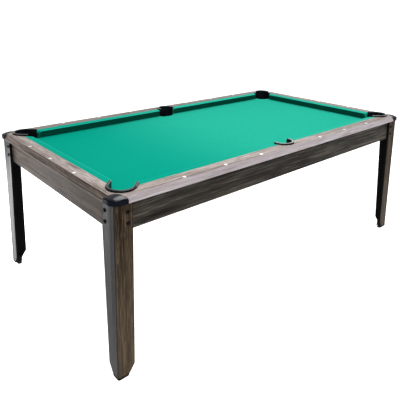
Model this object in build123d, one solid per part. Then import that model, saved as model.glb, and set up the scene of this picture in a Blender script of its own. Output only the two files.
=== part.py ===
from build123d import *
import os

# Pool table, seven-foot home size. Millimetres, +Z up, floor at z = 0, +X along the table.
# Offsets count outwards from the nose line of the cushions; drops count down from the rail top.

# Playing field and height; the nose lines stand a little outside the grid of the sights
SIGHT_PITCH = 245.0
NOSE_OUT = 10.0
TOP = 812.0

# Cushion section
CUSHION_W = 38.0
CUSHION_H = 45.0
NOSE_DROP = 3.0
NOSE_FACE = 3.5
CUSHION_FOOT = 14.0
SIDE_MOUTH = 64.0

# Bed and cloth
CLOTH_T = 1.0
BED_T = 20.0
BED_ROOM = 1.0

# Pockets
CORNER_OFF = 12.0
CORNER_R = 57.0
CORNER_REACH = 47.0
SIDE_OFF = 20.0
SIDE_R = 52.0
SIDE_LIP = 20.0
SIDE_LIP_R = 110.0
SIDE_REACH = 14.0
POCKET_WALL = 4.0
POCKET_DEPTH = 82.0
POCKET_ROOM = 1.0
CUP_ROUND = 10.0
CUP_RELIEF = 12.0
LIP_DROP = 3.0
SHELF = 6.0
BEAD_OUT = 7.5
BEAD_IN = 1.5
BEAD_H = 9.0

# Top rails
RAIL_T = 28.0
RAIL_LAND = 4.0
RAIL_OVERHANG = 12.0
BAND_W = 17.0
SIGHT_EDGE = 12.0
SIGHT_D = 16.0
SIGHT_T = 3.0
SIGHT_PROUD = 0.3

# Corner caps
CAP_W = 70.0
CAP_NECK = 45.0
CAP_ROUND = 40.0
CAP_R = 40.0
CAP_PROUD = 1.5
CAP_CROWN = 5.0
CAP_DOME = 110.0
CAP_EDGE = 8.0

# Aprons and legs
APRON_T = 15.0
APRON_H = 122.0
LEG_T = 14.0
LEG_W_LONG = 84.0
LEG_W_SHORT = 94.0
LEG_TAPER_LONG = 4.0
LEG_TAPER_SHORT = 22.0
LEG_CUT_W = 30.0
LEG_CUT_H = 42.0
LEG_RIDGE_R = 8.0

# Cross beams
BEAM_T = 18.0
BEAM_H = 55.0
BEAM_STEPS = (-2.85, -1.0, 1.0, 2.85)

# Levelling feet
PAD_R = 15.0
PAD_H = 7.5
PAD_EDGE = 3.0
PAD_BEVEL = 1.0
PAD_NECK = 2.0
PAD_SEAT = 3.0
HEX_H = 6.0
HEX_FLATS = 15.0
STUD_D = 10.0
STUD_SPARE = 3.0
PIVOT_D = 8.0
FLANGE_T = 1.5
FLANGE_W = 3.0
BARREL_WALL = 3.0
BARREL_L = 16.0
FOOT_TRAVEL = 12.0
SHOE_T = 4.0
BOSS = 30.0
BOSS_ROOF = 5.0
BOSS_ROUND = 10.0

# Leg bolts and rail bolts
BOLT_D = 8.0
BOLT_HEAD_D = 17.0
BOLT_HEAD_H = 5.0
BOLT_HEAD_ROUND = 3.5
BOLT_EDGE = 22.0
BOLT_TOP = 40.0
BOLT_PITCH = 47.0
NUT_D = 11.0
NUT_L = 12.0
NUT_FLANGE_D = 20.0
NUT_FLANGE_T = 1.5
RAIL_BOLT_STEPS = (0.62, 1.96, 3.28)
RAIL_BOLT_ENDS = (-1.1, 0.0, 1.1)
RAIL_BOLT_TIP = 18.0
RAIL_HEX_FLATS = 13.0
RAIL_HEX_H = 5.5

# Steel angles and their screws
ANGLE_T = 2.5
ANGLE_L = 38.0
ANGLE_H = 20.0
ANGLE_EDGE = 8.0
BEAM_ANGLE_L = 30.0
BEAM_ANGLE_H = 36.0
BEAM_ANGLE_EDGE = 10.0
SCREW_D = 3.4
SCREW_L = 11.0
SCREW_HEAD_D = 7.0
SCREW_HEAD_H = 2.0

# Clearances
GAP = 0.3
FIT = 0.08
INLAY_ROOM = 0.1
HOLE_ROOM = 0.3
PILOT_ROOM = 0.1
TIP_ROOM = 2.0
CUT_PAST = 5.0

# Derived offsets
FIELD_X = 4 * SIGHT_PITCH + NOSE_OUT
FIELD_Y = 2 * SIGHT_PITCH + NOSE_OUT
APRON_IN = max(SIDE_OFF + SIDE_R, CORNER_OFF + CORNER_R) + POCKET_ROOM
APRON_OUT = APRON_IN + APRON_T
LEG_OUT = APRON_OUT + LEG_T
RAIL_OUT = LEG_OUT + RAIL_OVERHANG
RAIL_FLAT = RAIL_OUT - BAND_W
SIGHT_OFF = RAIL_FLAT - SIGHT_EDGE
CAP_IN = RAIL_OUT - CAP_W
CAP_APEX = RAIL_OUT - CAP_NECK
BED_EDGE = APRON_IN - BED_ROOM
FOOT_OFF = APRON_OUT - BOSS / 2
RAIL_BOLT_OFF = (CUSHION_W + BED_EDGE) / 2
CORNER_RUN = 2 * (CORNER_OFF + CORNER_R)
SIDE_RUN = 2 * (SIDE_OFF + SIDE_R)

# Derived levels
BED_TOP = TOP - CUSHION_H
BED_UNDER = BED_TOP - CLOTH_T - BED_T
RAIL_UNDER = TOP - RAIL_T
APRON_LOW = RAIL_UNDER - APRON_H
CUP_LOW = BED_TOP - POCKET_DEPTH
FLANGE_LOW = PAD_H + HEX_H
SHOE_LOW = FLANGE_LOW + FLANGE_T
LEG_LOW = SHOE_LOW + SHOE_T
STUD_TOP = SHOE_LOW + BARREL_L + FOOT_TRAVEL + STUD_SPARE
BOSS_TOP = STUD_TOP + BOSS_ROOF

# Corner of the frame inside the aprons, faces of the aprons and faces of the legs
INSIDE_X, INSIDE_Y = FIELD_X + APRON_IN, FIELD_Y + APRON_IN
FACE_X, FACE_Y = FIELD_X + APRON_OUT, FIELD_Y + APRON_OUT
EDGE_X, EDGE_Y = FIELD_X + LEG_OUT, FIELD_Y + LEG_OUT

# Places that repeat
CORNERS = {"fl": (-1, -1), "fr": (1, -1), "bl": (-1, 1), "br": (1, 1)}
BEAM_X = [k * SIGHT_PITCH for k in BEAM_STEPS]
RAIL_BOLTS_X = [s * k * SIGHT_PITCH for s in (-1, 1) for k in RAIL_BOLT_STEPS]
RAIL_BOLTS_Y = [k * SIGHT_PITCH for k in RAIL_BOLT_ENDS]
RAIL_BOLT_AT = [(x, s * (FIELD_Y + RAIL_BOLT_OFF)) for x in RAIL_BOLTS_X for s in (-1, 1)]
RAIL_BOLT_AT += [(s * (FIELD_X + RAIL_BOLT_OFF), y) for y in RAIL_BOLTS_Y for s in (-1, 1)]
SIGHT_LONG = [(k * SIGHT_PITCH, FIELD_Y + SIGHT_OFF) for k in (-3, -2, -1, 1, 2, 3)]
SIGHT_SHORT = [(FIELD_X + SIGHT_OFF, k * SIGHT_PITCH) for k in (-1, 0, 1)]
LEG_BOLT_X = EDGE_X - LEG_W_LONG + BOLT_EDGE
LEG_BOLT_Y = EDGE_Y - LEG_W_SHORT + BOLT_EDGE
LEG_BOLT_Z = (RAIL_UNDER - BOLT_TOP, RAIL_UNDER - BOLT_TOP - BOLT_PITCH)
ANGLE_Z = sum(LEG_BOLT_Z) / 2


def quad(shape, sx, sy):
    """A piece drawn in the +X +Y corner, mirrored into the corner with these signs."""
    if sx < 0:
        shape = mirror(shape, about=Plane.YZ)
    if sy < 0:
        shape = mirror(shape, about=Plane.XZ)
    return shape


def prism(points, low, high):
    """Upright prism over a closed plan outline."""
    return Pos(0, 0, low) * extrude(make_face(Polyline(*points, close=True)), high - low)


def span(x0, x1, y0, y1, z0, z1):
    """Box between two opposite corners."""
    size = (x1 - x0, y1 - y0, z1 - z0)
    return Pos((x0 + x1) / 2, (y0 + y1) / 2, (z0 + z1) / 2) * Box(*size)


def rod(x, y, z0, z1, d):
    """Upright round bar."""
    return Pos(x, y, (z0 + z1) / 2) * Cylinder(d / 2, z1 - z0)


def rod_y(x, z, y0, y1, d):
    """Round bar along Y."""
    return Pos(x, (y0 + y1) / 2, z) * Rot(90, 0, 0) * Cylinder(d / 2, abs(y1 - y0))


def rod_x(y, z, x0, x1, d):
    """Round bar along X."""
    return Pos((x0 + x1) / 2, y, z) * Rot(0, 90, 0) * Cylinder(d / 2, abs(x1 - x0))


def u_face(r, reach):
    """Pocket plan: half round outwards (+X), straight sides reaching back towards the field."""
    a = Line((-reach, -r), (0, -r))
    b = ThreePointArc((0, -r), (r, 0), (0, r))
    c = Line((0, r), (-reach, r))
    d = Line((-reach, r), (-reach, -r))
    return make_face(Curve() + [a, b, c, d])


CORNER_AT = Pos(FIELD_X + CORNER_OFF, FIELD_Y + CORNER_OFF) * Rot(0, 0, 45)
SIDE_AT = Pos(0, FIELD_Y + SIDE_OFF) * Rot(0, 0, 90)


def u_cut(at, r, reach, low, high):
    """Upright cutter with the pocket plan."""
    return at * Pos(0, 0, low) * extrude(u_face(r, reach), high - low)


def corner_cuts(r, low, high):
    base = u_cut(CORNER_AT, r, CORNER_RUN, low, high)
    return [quad(base, sx, sy) for sx, sy in CORNERS.values()]


def side_cuts(r, low, high):
    base = u_cut(SIDE_AT, r, SIDE_RUN, low, high)
    return [base, mirror(base, about=Plane.XZ)]


def out_y(profile, x0, x1):
    """Section drawn as (offset, drop) carried along X on the +Y side."""
    pts = [(x0, FIELD_Y + o, TOP - d) for o, d in profile]
    return extrude(make_face(Polyline(*pts, close=True)), amount=x1 - x0, dir=(1, 0, 0))


def out_x(profile, y0, y1):
    """Section drawn as (offset, drop) carried along Y on the +X side."""
    pts = [(FIELD_X + o, y0, TOP - d) for o, d in profile]
    return extrude(make_face(Polyline(*pts, close=True)), amount=y1 - y0, dir=(0, 1, 0))


def upright_edge(shape, x, y):
    """The upright edge of a piece that stands at this place."""
    edges = shape.edges().filter_by(Axis.Z)
    return [e for e in edges if abs(e.center().X - x) < GAP and abs(e.center().Y - y) < GAP]


parts = {}
ABOVE = TOP + BEAD_H + CUT_PAST

# Top rails: wood section with a sloping outer band; the thick inner part stands on the bed
rail_profile = [
    (CUSHION_W, 0),
    (RAIL_FLAT, 0),
    (RAIL_OUT, RAIL_T - RAIL_LAND),
    (RAIL_OUT, RAIL_T),
    (BED_EDGE, RAIL_T),
    (BED_EDGE, CUSHION_H),
    (CUSHION_W, CUSHION_H),
]
rail_long = out_y(rail_profile, -(FIELD_X + RAIL_OUT), FIELD_X + RAIL_OUT)
rail_short = out_x(rail_profile, -(FIELD_Y + RAIL_OUT), FIELD_Y + RAIL_OUT)
high = corner_cuts(CORNER_R + GAP, BED_UNDER, ABOVE)
low = corner_cuts(CORNER_R + CUP_RELIEF, BED_UNDER, RAIL_UNDER)
side_high = side_cuts(SIDE_R + GAP, BED_UNDER, ABOVE)
side_low = side_cuts(SIDE_R + CUP_RELIEF, BED_UNDER, RAIL_UNDER)
PAST, SHORT = RAIL_OUT + CUT_PAST, CUSHION_W - CUT_PAST
lean = (CAP_APEX - CAP_IN) / CAP_NECK * CUT_PAST
plan = [(CAP_IN - lean, PAST), (CAP_APEX, CAP_APEX), (PAST, CAP_IN - lean), (PAST, PAST)]
seat = prism([(FIELD_X + a, FIELD_Y + b) for a, b in plan], BED_UNDER, ABOVE)
seat = fillet(upright_edge(seat, FIELD_X + CAP_APEX, FIELD_Y + CAP_APEX), CAP_ROUND)
mitre = [(SHORT, SHORT), (PAST, SHORT), (PAST, PAST)]
end_long = prism([(FIELD_X + a, FIELD_Y + b) for a, b in mitre], BED_UNDER, ABOVE)
end_short = prism([(FIELD_X + b, FIELD_Y + a) for a, b in mitre], BED_UNDER, ABOVE)
for sx, sy in CORNERS.values():
    rail_long = rail_long - quad(end_long, sx, sy) - quad(seat, sx, sy)
    rail_short = rail_short - quad(end_short, sx, sy) - quad(seat, sx, sy)
rail_long = rail_long - high - low - side_high - side_low
rail_short = rail_short - high - low
SIGHT_LOW = TOP + SIGHT_PROUD - SIGHT_T
SIGHT_HOLE = SIGHT_D + 2 * INLAY_ROOM
for x, y in SIGHT_LONG:
    rail_long = rail_long - rod(x, y, SIGHT_LOW, ABOVE, SIGHT_HOLE)
for x, y in SIGHT_SHORT:
    rail_short = rail_short - rod(x, y, SIGHT_LOW, ABOVE, SIGHT_HOLE)
for x, y in RAIL_BOLT_AT:
    hole = rod(x, y, BED_UNDER, TOP - RAIL_BOLT_TIP + TIP_ROOM, BOLT_D + HOLE_ROOM)
    if y > FIELD_Y:
        rail_long = rail_long - hole
    if x > FIELD_X:
        rail_short = rail_short - hole
parts["rail_long_back"] = rail_long
parts["rail_long_front"] = mirror(rail_long, about=Plane.XZ)
parts["rail_short_right"] = rail_short
parts["rail_short_left"] = mirror(rail_short, about=Plane.YZ)

# Cushions: nose above the bed, slanting under-face, ends cut to the pocket mouths
cushion_profile = [
    (0, NOSE_DROP),
    (0, NOSE_DROP + NOSE_FACE),
    (CUSHION_FOOT, CUSHION_H),
    (CUSHION_W, CUSHION_H),
    (CUSHION_W, 0),
]
slope = (SIDE_MOUTH - SIDE_R - GAP) / CUSHION_W
near = SIDE_MOUTH + CUT_PAST * slope
far = SIDE_MOUTH - (CUSHION_W + CUT_PAST) * slope
mouth = prism(
    [
        (-near, FIELD_Y - CUT_PAST),
        (near, FIELD_Y - CUT_PAST),
        (far, FIELD_Y + CUSHION_W + CUT_PAST),
        (-far, FIELD_Y + CUSHION_W + CUT_PAST),
    ],
    BED_UNDER,
    ABOVE,
)
cushion_long = out_y(cushion_profile, 0, FIELD_X) - high - mouth
cushion_short = out_x(cushion_profile, -FIELD_Y, FIELD_Y) - high
parts["cushion_back_right"] = cushion_long
parts["cushion_back_left"] = mirror(cushion_long, about=Plane.YZ)
parts["cushion_front_right"] = mirror(cushion_long, about=Plane.XZ)
parts["cushion_front_left"] = mirror(mirror(cushion_long, about=Plane.YZ), about=Plane.XZ)
parts["cushion_short_right"] = cushion_short
parts["cushion_short_left"] = mirror(cushion_short, about=Plane.YZ)


# Bed in three boards with square notches for the pockets
NOTCH_X = FIELD_X + CORNER_OFF - CORNER_R - SHELF
NOTCH_Y = FIELD_Y + CORNER_OFF - CORNER_R - SHELF
SIDE_NOTCH_X = SIDE_R + SHELF
SIDE_NOTCH_Y = FIELD_Y + SIDE_OFF - SIDE_R - SHELF
BED_X, BED_Y = FIELD_X + BED_EDGE, FIELD_Y + BED_EDGE
BOARD_TOP = BED_TOP - CLOTH_T
bed_holes = [
    rod(x, y, BED_UNDER - CUT_PAST, BED_TOP + CUT_PAST, BOLT_D + 2 * HOLE_ROOM)
    for x, y in RAIL_BOLT_AT
]
bed_mid = span(-NOTCH_X, NOTCH_X, -BED_Y, BED_Y, BED_UNDER, BOARD_TOP)
bed_end = span(NOTCH_X, BED_X, -NOTCH_Y, NOTCH_Y, BED_UNDER, BOARD_TOP)
notch = span(
    -SIDE_NOTCH_X,
    SIDE_NOTCH_X,
    SIDE_NOTCH_Y,
    BED_Y + CUT_PAST,
    BED_UNDER - CUT_PAST,
    BED_TOP,
)
bed_mid = bed_mid - notch - mirror(notch, about=Plane.XZ) - bed_holes
bed_end = bed_end - bed_holes
parts["bed_board_mid"] = bed_mid
parts["bed_board_right"] = bed_end
parts["bed_board_left"] = mirror(bed_end, about=Plane.YZ)

# Cloth: one sheet over the boards with round pocket holes open towards the edge
low_z, high_z = BED_UNDER - CUT_PAST, BED_TOP + CUT_PAST
at_x, at_y = FIELD_X + CORNER_OFF, FIELD_Y + CORNER_OFF
side_y, side_r = FIELD_Y + SIDE_OFF, SIDE_R + GAP
corner_hole = rod(at_x, at_y, low_z, high_z, 2 * (CORNER_R + GAP))
corner_open = span(at_x, BED_X + CUT_PAST, at_y, BED_Y + CUT_PAST, low_z, high_z)
lip_y = FIELD_Y - SIDE_LIP + SIDE_LIP_R
side_lip = rod(0, lip_y, low_z - CUT_PAST, high_z + CUT_PAST, 2 * SIDE_LIP_R)
side_hole = rod(0, side_y, low_z, high_z, 2 * side_r) & side_lip
side_open = span(-side_r, side_r, side_y, BED_Y + CUT_PAST, low_z, high_z)
cuts = [quad(corner_hole + corner_open, sx, sy) for sx, sy in CORNERS.values()]
cuts += [quad(side_hole + side_open, 1, sy) for sy in (-1, 1)]
parts["bed_cloth"] = span(-BED_X, BED_X, -BED_Y, BED_Y, BOARD_TOP, BED_TOP) - cuts - bed_holes


# Drop pockets: raised rim bead, wall at the back, closed round cup and a shelf in the bed's notch
def pocket(r, reach):
    inner = r - POCKET_WALL
    wall = extrude(u_face(r, reach) - u_face(inner, reach + CUT_PAST), CUSHION_H)
    wall = Pos(0, 0, BED_TOP) * wall
    cup = rod(0, 0, CUP_LOW, BED_TOP, 2 * r)
    cup = fillet(cup.edges().group_by(Axis.Z)[0], CUP_ROUND)
    hollow = rod(0, 0, CUP_LOW + POCKET_WALL, BED_TOP + CUT_PAST, 2 * inner)
    hollow = fillet(hollow.edges().group_by(Axis.Z)[0], CUP_ROUND - POCKET_WALL / 2)
    cup = cup - hollow
    cup = cup - span(-r - CUT_PAST, 0, -inner, inner, BED_TOP - LIP_DROP, BED_TOP + CUT_PAST)
    bead = u_face(r + BEAD_OUT, reach) - u_face(inner - BEAD_IN, reach + CUT_PAST)
    bead = Pos(0, 0, TOP) * extrude(bead, BEAD_H)
    tips = bead.edges().filter_by(Axis.Z).group_by(Axis.X)[0]
    bead = fillet(tips, BEAD_OUT * 0.8)
    bead = fillet(bead.faces().sort_by(Axis.Z)[-1].outer_wire().edges(), BEAD_H * 0.45)
    return wall + cup + bead


def bore(x, y, r):
    """Round hole of a pocket through its shelf."""
    return rod(x, y, BED_UNDER - CUT_PAST, BED_TOP, 2 * (r - POCKET_WALL))


corner_shelf = span(NOTCH_X + GAP, BED_X, NOTCH_Y + GAP, BED_Y, BED_UNDER, BOARD_TOP)
corner_shelf = corner_shelf - bore(at_x, at_y, CORNER_R) - corner_open
side_shelf = span(
    GAP - SIDE_NOTCH_X, SIDE_NOTCH_X - GAP, SIDE_NOTCH_Y + GAP, BED_Y, BED_UNDER, BOARD_TOP
)
side_shelf = side_shelf - (bore(0, side_y, SIDE_R) & side_lip) - side_open
corner_pocket = CORNER_AT * pocket(CORNER_R, CORNER_REACH) + corner_shelf
for tag, (sx, sy) in CORNERS.items():
    parts["pocket_corner_" + tag] = quad(corner_pocket, sx, sy)
side_pocket = SIDE_AT * pocket(SIDE_R, SIDE_REACH) + side_shelf
parts["pocket_side_back"] = side_pocket
parts["pocket_side_front"] = mirror(side_pocket, about=Plane.XZ)

# Corner caps: rounded corners with a shallow domed top, fitted between the slanted rail ends
CAP_TURN = CAP_R + CAP_PROUD


def is_rim(edge):
    """True for the top edges of the cap's outer wall."""
    at = edge.position_at(0.5)
    gap_x, gap_y = low_x - at.X, low_y - at.Y
    turn = Vector(gap_x - CAP_TURN, gap_y - CAP_TURN, 0).length
    outside = min(gap_x, gap_y) < FIT or (max(gap_x, gap_y) < CAP_TURN and turn > CAP_TURN - FIT)
    return outside and at.Z > (RAIL_UNDER + TOP) / 2


low_x, low_y = FIELD_X + RAIL_OUT + CAP_PROUD, FIELD_Y + RAIL_OUT + CAP_PROUD
shell = RectangleRounded(2 * low_x, 2 * low_y, CAP_R + CAP_PROUD)
shell = Pos(0, 0, RAIL_UNDER) * extrude(shell, ABOVE - RAIL_UNDER)
dome_low = TOP + CAP_CROWN - CAP_DOME
dome = Pos(FIELD_X + CAP_APEX, FIELD_Y + CAP_APEX, dome_low) * Sphere(CAP_DOME)
cap = shell & seat & dome
rim = [e for e in cap.edges() if is_rim(e)]
cap = fillet(rim, CAP_EDGE)
cap = cap - u_cut(CORNER_AT, CORNER_R + BEAD_OUT + GAP, CORNER_RUN, BED_UNDER, ABOVE)
for tag, (sx, sy) in CORNERS.items():
    parts["cap_" + tag] = quad(cap, sx, sy)

# Sights: flush round inlays
disc = [rod(x, y, SIGHT_LOW, SIGHT_LOW + SIGHT_T, SIGHT_D) for x, y in SIGHT_LONG]
ends = [rod(x, y, SIGHT_LOW, SIGHT_LOW + SIGHT_T, SIGHT_D) for x, y in SIGHT_SHORT]
inlays = disc + [mirror(d, about=Plane.XZ) for d in disc]
inlays += ends + [mirror(d, about=Plane.YZ) for d in ends]
parts["sights"] = Compound(children=inlays)

# Aprons: long boards run through, short boards stand between them
apron_long = span(-FACE_X, FACE_X, INSIDE_Y, FACE_Y, APRON_LOW, RAIL_UNDER)
apron_short = span(INSIDE_X, FACE_X, -INSIDE_Y, INSIDE_Y, APRON_LOW, RAIL_UNDER)
NUT_HOLE = NUT_D + HOLE_ROOM
for s in (-1, 1):
    for z in LEG_BOLT_Z:
        through_long = rod_y(s * LEG_BOLT_X, z, INSIDE_Y - CUT_PAST, FACE_Y + CUT_PAST, NUT_HOLE)
        through_short = rod_x(s * LEG_BOLT_Y, z, INSIDE_X - CUT_PAST, FACE_X + CUT_PAST, NUT_HOLE)
        apron_long = apron_long - through_long
        apron_short = apron_short - through_short


def screw(x, y, z, along, sign):
    """Short screw whose head lies at the point and whose shank goes along the signed axis."""
    bar = rod_x if along == "x" else rod_y
    a, b = (y, x) if along == "x" else (x, y)
    shank = bar(a, z, b, b + sign * SCREW_L, SCREW_D)
    head = bar(a, z, b - sign * SCREW_HEAD_H, b, SCREW_HEAD_D)
    return shank + head


def pilot(x, y, z, along, sign):
    """Hole for the shank of such a screw."""
    bar = rod_x if along == "x" else rod_y
    a, b = (y, x) if along == "x" else (x, y)
    return bar(a, z, b - sign * CUT_PAST, b + sign * (SCREW_L + HOLE_ROOM), SCREW_D + 2 * PILOT_ROOM)


# Steel angles inside the frame, each held by two short screws
angles, beam_angles, screws = [], [], []
angle_low, angle_high = ANGLE_Z - ANGLE_H / 2, ANGLE_Z + ANGLE_H / 2
back_x, back_y = INSIDE_X - ANGLE_L, INSIDE_Y - ANGLE_L
corner_angle = span(back_x, INSIDE_X, INSIDE_Y - ANGLE_T, INSIDE_Y, angle_low, angle_high)
corner_angle = corner_angle + span(
    INSIDE_X - ANGLE_T, INSIDE_X, back_y, INSIDE_Y, angle_low, angle_high
)
in_long = (back_x + ANGLE_EDGE, INSIDE_Y - ANGLE_T, ANGLE_Z, "y", 1)
in_short = (INSIDE_X - ANGLE_T, back_y + ANGLE_EDGE, ANGLE_Z, "x", 1)
corner_angle = corner_angle - pilot(*in_long) - pilot(*in_short)
corner_screws = [screw(*in_long), screw(*in_short)]
for sx, sy in CORNERS.values():
    angles.append(quad(corner_angle, sx, sy))
    screws += [quad(s, sx, sy) for s in corner_screws]
for s in (-1, 1):
    apron_long = apron_long - pilot(s * in_long[0], *in_long[1:])
    apron_short = apron_short - pilot(in_short[0], s * in_short[1], *in_short[2:])

# Cross beams under the bed, held to the long aprons by angles
beam_mid = BED_UNDER - BEAM_H / 2
hold_low, hold_high = beam_mid - BEAM_ANGLE_H / 2, beam_mid + BEAM_ANGLE_H / 2
for i, bx in enumerate(BEAM_X):
    face = bx + BEAM_T / 2
    far_x, far_y = face + BEAM_ANGLE_L, INSIDE_Y - BEAM_ANGLE_L
    beam = span(bx - BEAM_T / 2, face, -INSIDE_Y, INSIDE_Y, BED_UNDER - BEAM_H, BED_UNDER)
    angle = span(face, far_x, INSIDE_Y - ANGLE_T, INSIDE_Y, hold_low, hold_high)
    angle = angle + span(face, face + ANGLE_T, far_y, INSIDE_Y, hold_low, hold_high)
    to_apron = (far_x - BEAM_ANGLE_EDGE, INSIDE_Y - ANGLE_T, beam_mid, "y", 1)
    to_beam = (face + ANGLE_T, far_y + BEAM_ANGLE_EDGE, beam_mid, "x", -1)
    angle = angle - pilot(*to_apron) - pilot(*to_beam)
    apron_long = apron_long - pilot(*to_apron)
    for sy in (-1, 1):
        beam_angles.append(quad(angle, 1, sy))
        screws += [quad(screw(*to_apron), 1, sy), quad(screw(*to_beam), 1, sy)]
        beam = beam - quad(pilot(*to_beam), 1, sy)
    parts["beam_%d" % (i + 1)] = beam
parts["corner_brackets"] = Compound(children=angles)
parts["beam_brackets"] = Compound(children=beam_angles)
parts["bracket_screws"] = Compound(children=screws)
parts["apron_long_back"] = apron_long
parts["apron_long_front"] = mirror(apron_long, about=Plane.XZ)
parts["apron_short_right"] = apron_short
parts["apron_short_left"] = mirror(apron_short, about=Plane.YZ)


# Legs: two boards mitred at a rounded ridge, free edge tapering down to a slanted cut
def ridge_plan(width):
    """Plan of a board seen from above: x runs from the free edge to the ridge, y is the offset."""
    mid = LEG_OUT - LEG_RIDGE_R
    tip = mid + LEG_RIDGE_R * 0.5**0.5
    arc_mid = (mid + LEG_RIDGE_R * 0.3826834, mid + LEG_RIDGE_R * 0.9238795)
    free = LEG_OUT - width
    a = Polyline((APRON_OUT, APRON_OUT), (free, APRON_OUT), (free, LEG_OUT), (mid, LEG_OUT))
    b = ThreePointArc((mid, LEG_OUT), arc_mid, (tip, tip))
    c = Line((tip, tip), (APRON_OUT, APRON_OUT))
    return make_face(Curve() + [a, b, c])


def leg_board(width, taper):
    """Board on the +Y side with the ridge towards +X, at the table corner's offsets."""
    plan = extrude(ridge_plan(width), RAIL_UNDER - LEG_LOW)
    foot = width - taper
    outline = [
        (LEG_OUT + CUT_PAST, LEG_LOW),
        (LEG_OUT - foot + LEG_CUT_W, LEG_LOW),
        (LEG_OUT - foot, LEG_LOW + LEG_CUT_H),
        (LEG_OUT - width, APRON_LOW),
        (LEG_OUT - width, RAIL_UNDER),
        (LEG_OUT + CUT_PAST, RAIL_UNDER),
    ]
    pts = [(x, APRON_OUT - CUT_PAST, z) for x, z in outline]
    side = extrude(make_face(Polyline(*pts, close=True)), amount=LEG_T + 2 * CUT_PAST, dir=(0, 1, 0))
    return (Pos(0, 0, LEG_LOW) * plan) & side


swap = Plane((0, 0, 0), x_dir=(1, 1, 0), z_dir=(1, -1, 0))
board_long = Pos(FIELD_X, FIELD_Y, 0) * leg_board(LEG_W_LONG, LEG_TAPER_LONG)
board_short = Pos(FIELD_X, FIELD_Y, 0) * mirror(leg_board(LEG_W_SHORT, LEG_TAPER_SHORT), about=swap)


def bolt_and_nut(bar, at, z, inside, outside, axis):
    """Round-headed bolt from the leg's face to the inside of the apron, and its flanged nut."""
    head = bar(at, z, outside, outside + BOLT_HEAD_H, BOLT_HEAD_D)
    head = fillet(head.edges().group_by(axis)[-1], BOLT_HEAD_ROUND)
    bolt = head + bar(at, z, inside, outside, BOLT_D)
    nut = bar(at, z, inside - NUT_FLANGE_T, inside, NUT_FLANGE_D)
    nut = nut + bar(at, z, inside, inside + NUT_L, NUT_D)
    bore = bar(at, z, inside - CUT_PAST, inside + NUT_L + CUT_PAST, BOLT_D + HOLE_ROOM)
    return bolt, nut - bore


bolts, nuts = [], []
LEG_HOLE = BOLT_D + 2 * HOLE_ROOM
for z in LEG_BOLT_Z:
    board_long = board_long - rod_y(LEG_BOLT_X, z, INSIDE_Y, EDGE_Y + CUT_PAST, LEG_HOLE)
    board_short = board_short - rod_x(LEG_BOLT_Y, z, INSIDE_X, EDGE_X + CUT_PAST, LEG_HOLE)
    pair_long = bolt_and_nut(rod_y, LEG_BOLT_X, z, INSIDE_Y, EDGE_Y, Axis.Y)
    pair_short = bolt_and_nut(rod_x, LEG_BOLT_Y, z, INSIDE_X, EDGE_X, Axis.X)
    bolts += [pair_long[0], pair_short[0]]
    nuts += [pair_long[1], pair_short[1]]
for tag, (sx, sy) in CORNERS.items():
    parts["leg_%s_long" % tag] = quad(board_long, sx, sy)
    parts["leg_%s_short" % tag] = quad(board_short, sx, sy)
signs = list(CORNERS.values())
parts["leg_bolts"] = Compound(children=[quad(b, sx, sy) for b in bolts for sx, sy in signs])
parts["leg_nuts"] = Compound(children=[quad(n, sx, sy) for n in nuts for sx, sy in signs])

# Rail bolts: heads under the bed, shanks up into the rails
rail_bolts = []
for x, y in RAIL_BOLT_AT:
    hexagon = extrude(RegularPolygon(RAIL_HEX_FLATS / 2, 6, major_radius=False), RAIL_HEX_H)
    head = Pos(x, y, BED_UNDER - RAIL_HEX_H) * hexagon
    rail_bolts.append(head + rod(x, y, BED_UNDER, TOP - RAIL_BOLT_TIP, BOLT_D))
parts["rail_bolts"] = Compound(children=rail_bolts)

# Shoes: plate under the boards and a boss in the corner for the levelling foot
foot_x, foot_y = FIELD_X + FOOT_OFF, FIELD_Y + FOOT_OFF
arm_long = EDGE_X - LEG_W_LONG + LEG_TAPER_LONG + LEG_CUT_W
arm_short = EDGE_Y - LEG_W_SHORT + LEG_TAPER_SHORT + LEG_CUT_W
boss_x, boss_y = FACE_X - BOSS, FACE_Y - BOSS


plate = span(arm_long, EDGE_X, FACE_Y, EDGE_Y, SHOE_LOW, LEG_LOW)
plate = plate + span(FACE_X, EDGE_X, arm_short, EDGE_Y, SHOE_LOW, LEG_LOW)
plate = plate + span(boss_x, FACE_X, boss_y, FACE_Y, SHOE_LOW, LEG_LOW)
plate = fillet(upright_edge(plate, EDGE_X, EDGE_Y), LEG_RIDGE_R)
boss = span(boss_x, FACE_X, boss_y, FACE_Y, SHOE_LOW, BOSS_TOP)
boss = fillet(upright_edge(boss, boss_x, boss_y), BOSS_ROUND)
barrel_d = STUD_D + 2 * BARREL_WALL
barrel_top = SHOE_LOW + BARREL_L
shoe = plate + boss
shoe = shoe - rod(foot_x, foot_y, SHOE_LOW - CUT_PAST, barrel_top, barrel_d)
shoe = shoe - rod(foot_x, foot_y, SHOE_LOW, STUD_TOP + TIP_ROOM, STUD_D + TIP_ROOM)
insert = rod(foot_x, foot_y, FLANGE_LOW, SHOE_LOW, barrel_d + 2 * FLANGE_W)
insert = insert + rod(foot_x, foot_y, SHOE_LOW, barrel_top, barrel_d)
insert = insert - rod(
    foot_x, foot_y, FLANGE_LOW - CUT_PAST, barrel_top + CUT_PAST, STUD_D + 2 * FIT
)

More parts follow.
